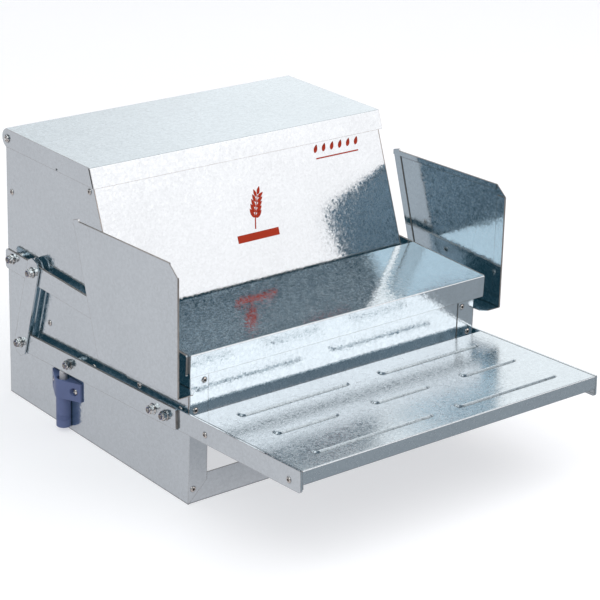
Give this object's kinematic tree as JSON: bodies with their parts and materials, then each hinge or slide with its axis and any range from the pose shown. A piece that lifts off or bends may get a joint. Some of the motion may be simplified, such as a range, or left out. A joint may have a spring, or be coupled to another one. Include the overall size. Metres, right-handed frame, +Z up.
{
  "type": "treadle poultry feeder",
  "caption": "Galvanised gravity feeder: sloped hopper with hinged lid, covered trough, side guards, and a treadle whose links raise the trough cover.",
  "frame": {"origin": "centre of the whole footprint, treadle included, on the ground", "axes": "+Z up, the treadle at the front on -Y, the back panel on +Y, +X to the right when looking along +Y"},
  "size_m": [0.475, 0.5828, 0.34],
  "materials": {
    "galvanised_sheet": "hot-dip galvanised, fine spangle",
    "zinc_hardware": "bright zinc plate",
    "rivet": "bright",
    "damper_plastic": "moulded, satin",
    "plunger_plastic": "moulded, smooth"
  },
  "bodies": {
    "feeder_body": {"back_panel": "galvanised_sheet", "body_rivets_left": "rivet", "body_rivets_right": "rivet", "damper_housing": "damper_plastic", "damper_screws": "zinc_hardware", "front_foot_strip": "galvanised_sheet", "front_rivets": "rivet", "hopper_floor": "galvanised_sheet", "hopper_front_panel": "galvanised_sheet", "lid_hinge_screws": "zinc_hardware", "pivot_bolts_left": "zinc_hardware", "pivot_bolts_right": "zinc_hardware", "pivot_nuts_left": "zinc_hardware", "pivot_nuts_right": "zinc_hardware", "pivot_spacers_left": "zinc_hardware", "pivot_spacers_right": "zinc_hardware", "side_guard_left": "galvanised_sheet", "side_guard_right": "galvanised_sheet", "side_panel_left": "galvanised_sheet", "side_panel_right": "galvanised_sheet", "trough_front_panel": "galvanised_sheet"},
    "top_lid": {"top_lid": "galvanised_sheet"},
    "treadle": {"clamp_bolts_left": "zinc_hardware", "clamp_bolts_right": "zinc_hardware", "clamp_nuts_left": "zinc_hardware", "clamp_nuts_right": "zinc_hardware", "link_foot_bolt_left": "zinc_hardware", "link_foot_bolt_right": "zinc_hardware", "link_foot_nut_left": "zinc_hardware", "link_foot_nut_right": "zinc_hardware", "rail_rivets_left": "rivet", "rail_rivets_right": "rivet", "treadle_arm_left": "galvanised_sheet", "treadle_arm_right": "galvanised_sheet", "treadle_platform": "galvanised_sheet", "treadle_rail_left": "galvanised_sheet", "treadle_rail_right": "galvanised_sheet"},
    "trough_cover": {"cover_arm_left": "galvanised_sheet", "cover_arm_right": "galvanised_sheet", "cover_rivets_left": "rivet", "cover_rivets_right": "rivet", "link_top_bolt_left": "zinc_hardware", "link_top_bolt_right": "zinc_hardware", "link_top_nut_left": "zinc_hardware", "link_top_nut_right": "zinc_hardware", "trough_cover": "galvanised_sheet"},
    "link_left": {"link_outer_left": "galvanised_sheet", "link_inner_left": "galvanised_sheet"},
    "link_right": {"link_outer_right": "galvanised_sheet", "link_inner_right": "galvanised_sheet"},
    "damper_plunger": {"damper_plunger": "plunger_plastic"}
  },
  "joints": [
    {"name": "lid_hinge", "type": "hinge", "parent": "feeder_body", "child": "top_lid", "pos_m": [0, 0.27987, 0.3285], "axis": [-1, 0, 0], "range_deg": [0, 105]},
    {"name": "treadle_pivot", "type": "hinge", "parent": "feeder_body", "child": "treadle", "pos_m": [0, 0.13937, 0.0905], "axis": [1, 0, 0], "range_deg": [0, 12]},
    {"name": "cover_pivot", "type": "hinge", "parent": "feeder_body", "child": "trough_cover", "pos_m": [0, 0.26287, 0.1835], "axis": [-1, 0, 0], "range_deg": [0, 27.9]},
    {"name": "link_left_pivot", "type": "hinge", "parent": "treadle", "child": "link_left", "pos_m": [-0.217, 0.24387, 0.083], "axis": [1, 0, 0], "range_deg": [-14.6, 0]},
    {"name": "link_right_pivot", "type": "hinge", "parent": "treadle", "child": "link_right", "pos_m": [0.217, 0.24387, 0.083], "axis": [1, 0, 0], "range_deg": [-14.6, 0]},
    {"name": "plunger_slide", "type": "slide", "parent": "feeder_body", "child": "damper_plunger", "axis": [0, 0, 1], "range_m": [0, 0.0032]}
  ],
  "couplings": [
    {"joint": "cover_pivot", "follows": "treadle_pivot", "ratio": 2.3219},
    {"joint": "link_left_pivot", "follows": "treadle_pivot", "ratio": -1.2062},
    {"joint": "link_right_pivot", "follows": "treadle_pivot", "ratio": -1.2062},
    {"joint": "plunger_slide", "follows": "treadle_pivot", "m_per_rad": 0.0148}
  ]
}
